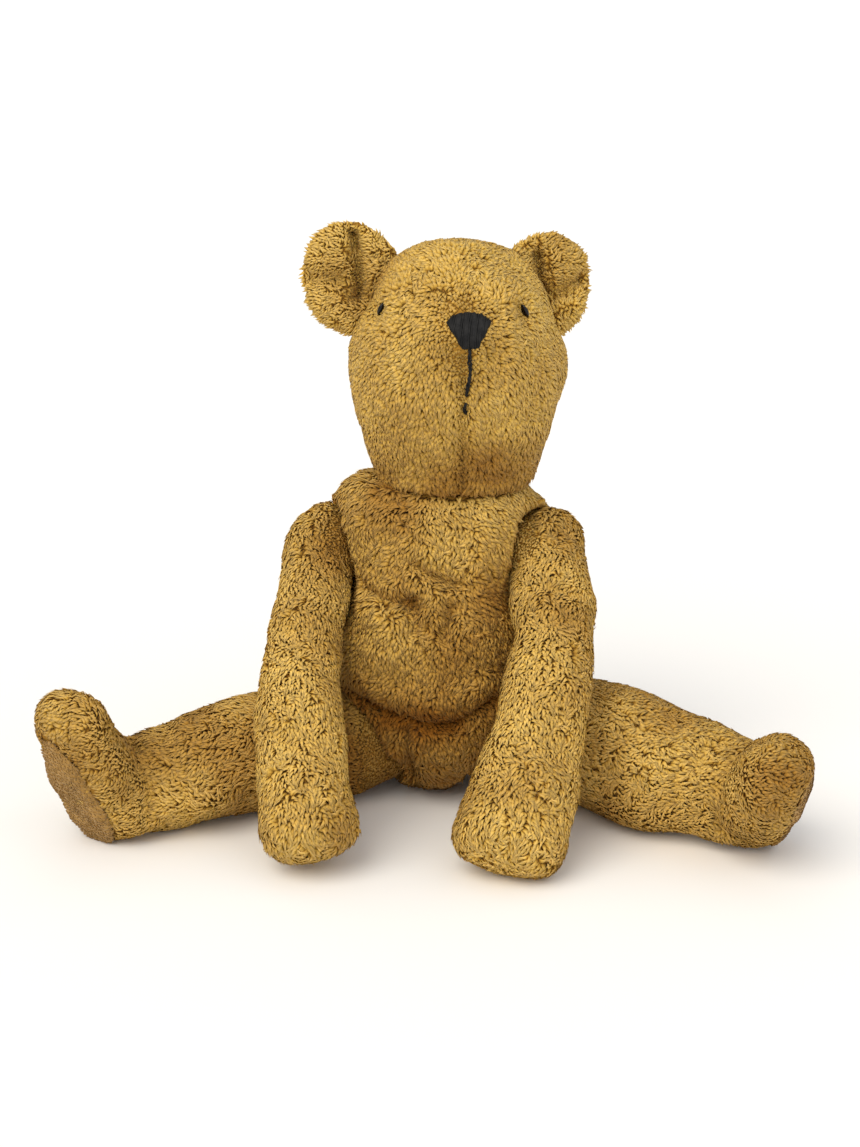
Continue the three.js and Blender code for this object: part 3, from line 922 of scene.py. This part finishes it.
class PLUSH_OT_head(bpy.types.Operator):
    """Makes the head: a stuffed form with its chin seam and eye sockets, covered in pile"""

    bl_idname = "plush.head"
    bl_label = "Head"

    def execute(self, context):
        settings = context.scene.bear_pile
        inside = ["head_skin", "head_stuffing"]
        filled = inside + joint_nodes("neck", "inner")
        obj = solid_form("head_plush", filled, settings.grid, 12, lambda p: p[:, 2] < NECK.z + 4 * MM)
        points = coords(obj.data)
        sink(obj, settings.sink, ramp_up(points[:, 2] - NECK.z, 2, 8))
        points = coords(obj.data)
        local = points - np.array(NECK)
        across = local @ np.array(ACROSS)
        ahead = local @ np.array(FORWARD)
        chin = (np.abs(across) < 2.5 * MM) & (ahead > 0) & (local[:, 2] < 55 * MM)
        rim = local[:, 2] < 8 * MM
        swell(obj, settings, chin | rim, 4 * MM)
        refine(obj)
        crumple(obj, 40 * MM, 0.6 * MM, 8)
        press(obj, [(23, -65, 222), (22, -51, 200), (21, -44, 178)], 2.4, 2.6, facing=FORWARD)
        press(obj, [(23, -66, 250), (23, -58, 219)], 2.2, 1.6, facing=FORWARD)
        for path in EYE_SOCKETS:
            press(obj, path, 5, 3.2, facing=FORWARD)
        press(obj, [(44, -47, 262), (47, -50, 237), (47, -41, 204)], 7, -1.6, facing=FORWARD)
        press(obj, [(58, -35, 250), (58, -40, 215)], 6, 1.4, facing=(0.7, -0.7, 0))
        points = coords(obj.data)
        tip = np.array((0.022, -0.064, 0.262))
        nap = unit_rows(points - tip) + np.array((0, 0, -0.75))
        local = points - np.array(NECK)
        height = local[:, 2] / MM
        # Painted shade under the chin, where the head meets the neck.
        brown = 0.02 + 0.45 * np.exp(-((height - 2) / 20) ** 2)
        # Painted shade low on the chin beside the mouth.
        brown += 0.22 * glow_near(points, [(15, -44, 190), (34, -44, 196)], FORWARD, 0.016)
        length = 0.92 + 0.35 * np.exp(-((height / 8) ** 2))
        nose = near_path(points, [(22, -64, 270), (22, -64, 256)], FORWARD)
        length *= 0.45 + 0.55 * ramp_up(nose, 7, 20)
        mouth = near_path(points, [(22.5, -66, 254), (21, -50, 180)], FORWARD)
        length *= 0.5 + 0.5 * ramp_up(mouth, 1.5, 6)
        for path in EYE_SOCKETS:
            length *= 0.45 + 0.55 * ramp_up(near_path(points, path, FORWARD), 1, 6)
        from_axis = np.linalg.norm(local[:, :2], axis=1)
        cover = ((local[:, 2] > 3 * MM) | (from_axis > 34 * MM)) & (nose > 3 * MM)
        brown = np.clip(brown + 0.06 * lumps(points, 60 * MM, 15), 0, 1)
        brush(obj, nap, length=length, cover=cover, brown=brown)
        remember["head"] = surface_of(obj)
        grow_pile(obj, settings, seed=2)
        finish_plush(obj, "head", inside)
        return {"FINISHED"}


remember = {}


def surface_of(obj):
    """A tree of the surface as it is now, to lay threads on."""
    polygons = [list(p.vertices) for p in obj.data.polygons]
    return BVHTree.FromPolygons([Vector(p) for p in coords(obj.data)], polygons)


class PLUSH_OT_ears(bpy.types.Operator):
    """Makes the two ears, cupped and creased, covered in pile"""

    bl_idname = "plush.ears"
    bl_label = "Ears"

    def execute(self, context):
        settings = context.scene.bear_pile
        creases = {
            "right": (
                [[(-40, -14, 306), (-38, -13, 292), (-37, -11, 272)], 3.6, 8.0],
                [[(-72, -20, 285), (-60, -23, 281), (-46, -17, 281)], 5, 5.0],
                [[(-52, -20, 262), (-60, -20, 266)], 9, -2.5],
            ),
            "left": (
                [[(53, 8, 292), (55, 8, 284), (56, 4, 270)], 3.6, 8.0],
                [[(58, 9, 268), (68, 10, 272), (78, 10, 279)], 5, 5.5],
                [[(72, 10, 262), (66, 9, 256)], 8, -2.5],
            ),
        }
        for number, side in enumerate(SIDES):
            node = f"{side}_ear"
            obj = solid_form(f"{side}_ear_plush", [node], 3 * MM, 4)
            points = coords(obj.data)
            core = np.array(NECK + Vector((0, 0, 0.08)))
            inward = points - core
            near = 1 - ramp_up(np.linalg.norm(inward, axis=1), 58, 72)
            set_coords(obj.data, points - unit_rows(inward) * near[:, None] * 4 * MM)
            points = coords(obj.data)
            middle = points.mean(0)
            swell(obj, settings, near > 0.3, 2 * MM)
            refine(obj)
            for path, width, depth in creases[side]:
                press(obj, path, width, depth, facing=FORWARD)
            points = coords(obj.data)
            root = np.array(NECK + Vector((0, 0, 0.085)))
            nap = unit_rows(points - root) * 0.8 + np.array((0, 0, -0.35)) - np.array(FORWARD) * 0.9
            edge = 1 - np.abs(normals(obj.data) @ np.array(FORWARD))
            away = np.linalg.norm(points - middle, axis=1)
            # Painted shade in the hollow of the cupped ear, browner towards its middle.
            brown = 0.04 + 0.18 * np.clip(1 - away / (24 * MM), 0, 1)
            brush(obj, nap, length=0.72 - 0.25 * edge, cover=np.ones(len(points)), brown=brown)
            finer = {"Spacing": 1.0 * MM, "Width": 1.7 * MM, "Disorder": 0.7, "Clumping": 0.8}
            grow_pile(obj, settings, seed=10 + number, **finer)
            finish_plush(obj, "head", [node])
        return {"FINISHED"}


class PLUSH_OT_arms(bpy.types.Operator):
    """Makes the two arms, covered in pile that runs down to the paws"""

    bl_idname = "plush.arms"
    bl_label = "Arms"

    def execute(self, context):
        settings = context.scene.bear_pile
        creases = {
            "right": (
                [[(-60, -36, 147), (-47, -34, 138), (-42, -38, 121)], 4, 2.5],
                [[(-80, -60, 108), (-66, -68, 104)], 5, 1.6],
                [[(-76, -100, 62), (-58, -108, 56)], 5, 1.4],
            ),
            "left": (
                [[(57, -20, 157), (52, -26, 147), (47, -34, 132)], 4, 2.2],
                [[(66, -48, 128), (80, -48, 124)], 4, 2.4],
                [[(68, -56, 118), (84, -52, 116)], 5, -1.6],
                [[(60, -104, 66), (76, -100, 60)], 6, 1.5],
            ),
        }
        for number, side in enumerate(SIDES):
            inside = [f"{side}_arm_skin", f"{side}_arm_stuffing"]
            shoulder = f"{side}_shoulder"
            obj = solid_form(f"{side}_arm_plush", inside + joint_nodes(shoulder, "inner"), settings.grid, 8)
            centre = Vector(pivot(side, "arm"))
            sink(obj, settings.sink, free_of_pocket(coords(obj.data), centre, 21, side))
            points = coords(obj.data)
            top = np.linalg.norm(points - np.array(centre), axis=1) < 22 * MM
            swell(obj, settings, top, 3.5 * MM)
            refine(obj)
            crumple(obj, 34 * MM, 0.9 * MM, 20 + number)
            for path, width, depth in creases[side]:
                press(obj, path, width, depth, facing=(0, -0.9, 0.4))
            points = coords(obj.data)
            low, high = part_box(inside[0])
            hand = Vector(((low.x + high.x) / 2, low.y + 0.02, 0.02))
            way = (hand - centre).normalized()
            nap = np.tile(np.array(way), (len(points), 1))
            body_side = (points - np.array(centre))[:, 0] * (1 if side == "right" else -1) > 4 * MM
            near = shorter_near(points, centre, 23 * MM)
            length = np.where(body_side, near, 1.0)
            # Painted shade round the top of the arm, where it meets the body.
            brown = 0.04 + 0.25 * np.exp(-((points[:, 2] - 0.15) / 0.03) ** 2)
            brown += 0.08 * lumps(points, 50 * MM, 30 + number)
            brush(obj, nap, length=length, cover=np.ones(len(points)), brown=np.clip(brown, 0, 1))
            grow_pile(obj, settings, seed=20 + number)
            finish_plush(obj, f"{side}_arm", inside)
        return {"FINISHED"}


class PLUSH_OT_legs(bpy.types.Operator):
    """Makes the two legs with their turned-up feet, covered in pile"""

    bl_idname = "plush.legs"
    bl_label = "Legs"

    def execute(self, context):
        settings = context.scene.bear_pile
        creases = {
            "right": (
                [[(-148, -118, 66), (-140, -119, 50), (-133, -119, 36), (-134, -119, 12)], 4, 3.5],
                [[(-70, -60, 62), (-80, -84, 40)], 6, 1.5],
            ),
            "left": (
                [[(176, -110, 72), (164, -98, 58), (156, -100, 40), (158, -104, 24)], 4, 3.5],
                [[(96, -40, 64), (90, -70, 40)], 6, 1.5],
            ),
        }
        for number, side in enumerate(SIDES):
            inside = [f"{side}_leg_skin", f"{side}_leg_stuffing"]
            filled = inside + joint_nodes(f"{side}_hip", "inner")
            obj = solid_form(f"{side}_leg_plush", filled, settings.grid, 8)
            centre = Vector(pivot(side, "leg"))
            points = coords(obj.data)
            share = free_of_pocket(points, centre, 31, side) * ramp_up(near_sole(points, side), 2, 16)
            sink(obj, settings.sink, share)
            points = coords(obj.data)
            low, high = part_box(f"{side}_sole")
            sole = (low + high) / 2
            bulb = np.linalg.norm(points - np.array(centre), axis=1) < 33 * MM
            ankle = near_path(points, creases[side][0][0]) < 4 * MM
            swell(obj, settings, bulb | ankle, 4 * MM)
            refine(obj)
            crumple(obj, 38 * MM, 1.0 * MM, 40 + number)
            for path, width, depth in creases[side]:
                press(obj, path, width, depth, facing=(0, -0.8, 0.6))
            points = coords(obj.data)
            way = (sole - centre).normalized()
            nap = np.tile(np.array(way), (len(points), 1)) * 0.9
            foot = np.clip(1 - np.linalg.norm(points - np.array(sole), axis=1) / (50 * MM), 0, 1)
            nap += unit_rows(points - np.array(sole)) * foot[:, None] * -0.6
            rows = points - np.array(centre)
            inner = rows[:, 0] * (1 if side == "right" else -1) > 4 * MM
            near = shorter_near(points, centre, 33 * MM)
            bare = near_sole(points, side)
            # The feet are worn almost smooth round their soles.
            worn = 1 - ramp_up(bare, 12, 30)
            if side == "left":
                worn = np.maximum(worn, 1 - ramp_up(near_path(points, WORN_TOE), 14, 28))
            length = np.where(inner, near, 1.0) * (1 - 0.3 * worn)
            away = np.linalg.norm(rows, axis=1)
            # Painted shade towards the hip, where the leg tucks under the body. The worn feet are browned by
            # real wear.
            brown = 0.24 + 0.6 * np.clip(1 - away / (105 * MM), 0, 1)
            brown += 0.1 * lumps(points, 55 * MM, 50 + number)
            brown = np.clip(brown + 0.12 * worn, 0, 1)
            brush(obj, nap, length=length, cover=bare > 1.0 * MM, brown=brown)
            grow_pile(obj, settings, seed=30 + number)
            finish_plush(obj, f"{side}_leg", inside)
        return {"FINISHED"}


def near_sole(points, side):
    """Distance of each point from the flat of the sole."""
    work = bmesh.new()
    work.from_mesh(frame["nodes"][f"{side}_sole"].data)
    tree = BVHTree.FromBMesh(work)
    work.free()
    return np.array([(tree.find_nearest(Vector(p))[3] or 0.0) for p in points])


class PLUSH_OT_soles(bpy.types.Operator):
    """Makes the two soles of brushed knit, padded"""

    bl_idname = "plush.soles"
    bl_label = "Soles"

    def execute(self, context):
        settings = context.scene.bear_pile
        for number, side in enumerate(SIDES):
            node = f"{side}_sole"
            obj = solid_form(f"{side}_sole_knit", [node], 1.6 * MM, 3)
            swell(obj, settings, np.zeros(len(obj.data.vertices), bool), 0.8 * MM)
            crumple(obj, 16 * MM, 0.3 * MM, 60 + number)
            refine(obj)
            points = coords(obj.data)
            way = np.zeros_like(points)
            way[:, 2] = 1.0
            brush(obj, way, length=np.ones(len(points)), cover=np.ones(len(points)))
            nap_of_knit = {
                "Spacing": 1.1 * MM,
                "Length": 1.5 * MM,
                "Width": 0.7 * MM,
                "Pile material": material("knit"),
            }
            grow_pile(obj, settings, seed=50 + number, **nap_of_knit)
            obj.data.materials[0] = material("knit")
            finish_plush(obj, f"{side}_leg", [node])
        return {"FINISHED"}


# ------------------------------------------------------------------ face


def thread_tree():
    """Threads along the edges of a mesh, each a round strand."""
    tree = bpy.data.node_groups.new("Threads", "GeometryNodeTree")
    group_input(tree, "Paths", "NodeSocketGeometry")
    group_input(tree, "Thickness", "NodeSocketFloat", 0.0008)
    group_input(tree, "Thread material", "NodeSocketMaterial")
    tree.interface.new_socket("Threads", in_out="OUTPUT", socket_type="NodeSocketGeometry")
    given = add(tree, "NodeGroupInput").outputs
    lines = add(tree, "GeometryNodeMeshToCurve", {"Mesh": given["Paths"]})
    spline = add(tree, "GeometryNodeCurveSplineType", {"Curve": lines.outputs[0]}, spline_type="CATMULL_ROM")
    even = add(tree, "GeometryNodeResampleCurve", {"Curve": spline.outputs[0], "Count": 9})
    radius = calculate(tree, "MULTIPLY", given["Thickness"], 0.5)
    ring = add(tree, "GeometryNodeCurvePrimitiveCircle", {"Resolution": 6, "Radius": radius})
    strands = add(
        tree,
        "GeometryNodeCurveToMesh",
        {"Curve": even.outputs[0], "Profile Curve": ring.outputs["Curve"], "Fill Caps": True},
    )
    soft = add(tree, "GeometryNodeSetShadeSmooth", {"Geometry": strands.outputs[0], "Shade Smooth": True})
    real = add(tree, "GeometryNodeRealizeInstances", {"Geometry": soft.outputs[0]})
    dressed = add(
        tree, "GeometryNodeSetMaterial", {"Geometry": real.outputs[0], "Material": given["Thread material"]}
    )
    add(tree, "NodeGroupOutput", {0: dressed.outputs[0]})
    return tree


def sew(name, strands, thickness):
    """An object of threads, one along each strand's points."""
    points = [Vector(p) for strand in strands for p in strand]
    edges = []
    first = 0
    for strand in strands:
        edges += [(first + i, first + i + 1) for i in range(len(strand) - 1)]
        first += len(strand)
    mesh = bpy.data.meshes.new(name)
    mesh.from_pydata(points, edges, [])
    obj = new_object(name, mesh)
    if "Threads" not in bpy.data.node_groups:
        thread_tree()
    tree = bpy.data.node_groups["Threads"]
    modifier = obj.modifiers.new("Threads", "NODES")
    modifier.node_group = tree
    set_inputs(modifier, tree, {"Thickness": thickness, "Thread material": material("thread")})
    settle(obj)
    return obj


def on_face(across, height, proud):
    """A point on the front of the head: across and height in metres from the neck, proud of the cloth."""
    start = NECK + ACROSS * across + UP * height + FORWARD * 0.2
    spot, normal, _, _ = remember["head"].ray_cast(start, -FORWARD)
    if spot is None:
        raise RuntimeError("a face point misses the head")
    return spot + normal * proud


NOSE_HALF_WIDTH = 10.9 * MM
NOSE_STITCHES = 36
STITCH_POINTS = 7
# Where each stitch of the mouth starts and ends, as shares of its height.
MOUTH_STITCHES = ((-0.04, 0.3), (0.27, 0.58), (0.67, 0.82))
PLIES = 3
PLY_RADIUS = 0.42 * MM
PLY_POINTS = 13
EYE_SHIFT = 1.8 * MM
EYE_LEAN = math.radians(24)


class PLUSH_OT_nose(bpy.types.Operator):
    """Sews the nose in upright satin stitches over a small pad"""

    bl_idname = "plush.nose"
    bl_label = "Nose"

    def execute(self, context):
        face = context.scene.bear_face
        low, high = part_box("nose")
        middle = (low.z + high.z) / 2 - NECK.z
        rng = np.random.default_rng(31)
        strands = []
        for layer in range(2):
            for i in range(NOSE_STITCHES):
                side = (i + 0.5 * layer) / (NOSE_STITCHES - 0.5) * 2 - 1
                across = side * NOSE_HALF_WIDTH
                top = 8.0 * MM - 4.2 * MM * abs(side) ** 3.0 + rng.normal(0, 0.2 * MM)
                taper = max(0.0, (abs(side) - 0.4) / 0.6)
                bottom = -8.2 * MM + 9.6 * MM * taper**0.9 + rng.normal(0, 0.2 * MM)
                strand = []
                for step in range(STITCH_POINTS):
                    share = step / (STITCH_POINTS - 1)
                    height = middle + top + (bottom - top) * share
                    arch = math.sin(math.pi * share) ** 0.5
                    crown = 1 - 0.55 * side * side
                    proud = 0.4 * MM + face.nose_pad * arch * crown + 0.5 * MM * layer
                    pull = 0.25 * MM * math.sin(3 * share + i)
                    strand.append(on_face(across + pull - 0.12 * across * share, height, proud))
                strands.append(strand)
        obj = sew("nose_satin_stitch", strands, face.thread * 1.15)
        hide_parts("nose")
        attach(obj, "head")
        return {"FINISHED"}


class PLUSH_OT_mouth(bpy.types.Operator):
    """Sews the mouth: three long stitches down from the nose"""

    bl_idname = "plush.mouth"
    bl_label = "Mouth"

    def execute(self, context):
        face = context.scene.bear_face
        low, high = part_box("mouth_stitch")
        top, bottom = high.z - NECK.z, low.z - NECK.z
        strands = []
        span = top - bottom
        rng = np.random.default_rng(5)
        for from_share, to_share in MOUTH_STITCHES:
            for ply in range(PLIES):
                strand = []
                for step in range(PLY_POINTS):
                    share = from_share + (to_share - from_share) * step / (PLY_POINTS - 1)
                    turn = ply * 2 * math.pi / PLIES + step * 0.9
                    sway = 0.5 * MM * math.sin(7 * share)
                    ends = step in (0, PLY_POINTS - 1)
                    proud = (0.2 if ends else 2.3) * MM + PLY_RADIUS * math.cos(turn)
                    across = sway + PLY_RADIUS * math.sin(turn) + rng.normal(0, 0.04 * MM)
                    strand.append(on_face(across, top - span * share, proud))
                strands.append(strand)
        obj = sew("mouth_stitch_thread", strands, face.thread * 1.2)
        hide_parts("mouth_stitch")
        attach(obj, "head")
        return {"FINISHED"}


class PLUSH_OT_eyes(bpy.types.Operator):
    """Makes the two small almond eyes, sunk in the pile"""

    bl_idname = "plush.eyes"
    bl_label = "Eyes"

    def execute(self, context):
        face = context.scene.bear_face
        for side in SIDES:
            node = f"{side}_eye"
            low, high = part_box(node)
            centre = (low + high) / 2
            local = centre - NECK
            spot = on_face(local.dot(ACROSS) + EYE_SHIFT, local.z, 0)
            out = (spot - (NECK + UP * 0.085)).normalized()
            out = (out + FORWARD * 0.5).normalized()
            lean = EYE_LEAN * (-1 if side == "left" else 1)
            upright = (UP - out * UP.dot(out)).normalized()
            sideways = upright.cross(out)
            upright, sideways = (
                upright * math.cos(lean) + sideways * math.sin(lean),
                sideways * math.cos(lean) - upright * math.sin(lean),
            )
            work = bmesh.new()
            bmesh.ops.create_uvsphere(work, u_segments=32, v_segments=20, radius=1)
            for vertex in work.verts:
                x, y, z = vertex.co
                point = 1 - 0.45 * abs(y) ** 1.5
                vertex.co = (
                    spot
                    + sideways * (x * point * face.eye_width / 2)
                    + upright * (y * face.eye_height / 2)
                    + out * (z * 2.4 * MM + 1.1 * MM)
                )
            bmesh.ops.recalc_face_normals(work, faces=work.faces)
            mesh = bpy.data.meshes.new(f"{side}_eye_bead")
            work.to_mesh(mesh)
            work.free()
            for polygon in mesh.polygons:
                polygon.use_smooth = True
            obj = new_object(f"{side}_eye_bead", mesh)
            mesh.materials.append(material("eye"))
            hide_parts(node)
            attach(obj, "head")
        return {"FINISHED"}


class PLUSH_OT_hardware(bpy.types.Operator):
    """Finishes the discs, washers, bolts and nuts of the joints"""

    bl_idname = "plush.hardware"
    bl_label = "Joint hardware"

    def execute(self, context):
        for name, obj in frame["nodes"].items():
            if "_disc_" in name:
                finish = "board"
            elif any(word in name for word in ("_washer_", "_bolt", "_nut")):
                finish = "zinc"
            else:
                continue
            obj.data.materials.clear()
            obj.data.materials.append(material(finish))
        return {"FINISHED"}


AIM = Vector((0, -0.020, 0.1236))


class PLUSH_OT_stage(bpy.types.Operator):
    """Makes the floor, the camera and the lights"""

    bl_idname = "plush.stage"
    bl_label = "Stage"

    def execute(self, context):
        stage = context.scene.bear_stage
        scene = context.scene
        bpy.ops.mesh.primitive_plane_add(size=2 * stage.floor, location=(0, 0, 0))
        floor = context.object
        floor.name = "floor"
        floor.data.materials.append(material("paper"))
        azimuth, elevation = stage.azimuth, stage.elevation
        back = Vector(
            (
                math.sin(azimuth) * math.cos(elevation),
                -math.cos(azimuth) * math.cos(elevation),
                math.sin(elevation),
            )
        )
        camera = bpy.data.objects.new("camera", bpy.data.cameras.new("camera"))
        scene.collection.objects.link(camera)
        camera.data.sensor_fit = "VERTICAL"
        camera.data.sensor_height = 36
        camera.data.lens = stage.lens
        camera.data.clip_end = 200
        camera.location = AIM + back * stage.distance
        camera.rotation_euler = back.to_track_quat("Z", "Y").to_euler()
        scene.camera = camera
        for name, place, softness, power, colour in (
            ("key light", (-0.7, -1.2, 1.5), 50, 2.0, "#fff8ec"),
            ("fill light", (1.4, -1.2, 0.9), 80, 0.6, "#f6f8ff"),
        ):
            light = bpy.data.objects.new(name, bpy.data.lights.new(name, "SUN"))
            scene.collection.objects.link(light)
            light.data.angle = math.radians(softness)
            light.data.energy = power
            light.data.color = linear(colour)[:3]
            light.location = place
            light.rotation_euler = Vector(place).to_track_quat("Z", "Y").to_euler()
        world = scene.world or bpy.data.worlds.new("world")
        scene.world = world
        world.use_nodes = True
        tree = world.node_tree
        tree.nodes.clear()
        sky = add(tree, "ShaderNodeBackground", {"Color": linear("#ffffff"), "Strength": 0.7})
        add(tree, "ShaderNodeOutputWorld", {"Surface": sky.outputs[0]})
        scene.view_settings.view_transform = "Standard"
        return {"FINISHED"}


OPERATORS = (
    PLUSH_OT_stage,
    PLUSH_OT_hardware,
    PLUSH_OT_torso,
    PLUSH_OT_head,
    PLUSH_OT_ears,
    PLUSH_OT_arms,
    PLUSH_OT_legs,
    PLUSH_OT_soles,
    PLUSH_OT_nose,
    PLUSH_OT_mouth,
    PLUSH_OT_eyes,
)


class PLUSH_PT_bear(bpy.types.Panel):
    """Lists the pieces of the bear and the sizes that can be changed"""

    bl_idname = "PLUSH_PT_bear"
    bl_label = "Plush bear"
    bl_space_type = "VIEW_3D"
    bl_region_type = "UI"
    bl_category = "Plush bear"

    def draw(self, context):
        layout = self.layout
        for group in (context.scene.bear_pile, context.scene.bear_face, context.scene.bear_stage):
            box = layout.box()
            for name in group.__annotations__:
                box.prop(group, name)
        for operator in OPERATORS:
            layout.operator(operator.bl_idname)


CLASSES = (PileSettings, FaceSettings, StageSettings, *OPERATORS, PLUSH_PT_bear)


def register():
    for item in CLASSES:
        bpy.utils.register_class(item)
    bpy.types.Scene.bear_pile = bpy.props.PointerProperty(type=PileSettings)
    bpy.types.Scene.bear_face = bpy.props.PointerProperty(type=FaceSettings)
    bpy.types.Scene.bear_stage = bpy.props.PointerProperty(type=StageSettings)


def unregister():
    del bpy.types.Scene.bear_stage
    del bpy.types.Scene.bear_face
    del bpy.types.Scene.bear_pile
    for item in reversed(CLASSES):
        bpy.utils.unregister_class(item)


def main():
    register()
    for operator in OPERATORS:
        family, name = operator.bl_idname.split(".")
        getattr(getattr(bpy.ops, family), name)()


if __name__ == "__main__":
    main()
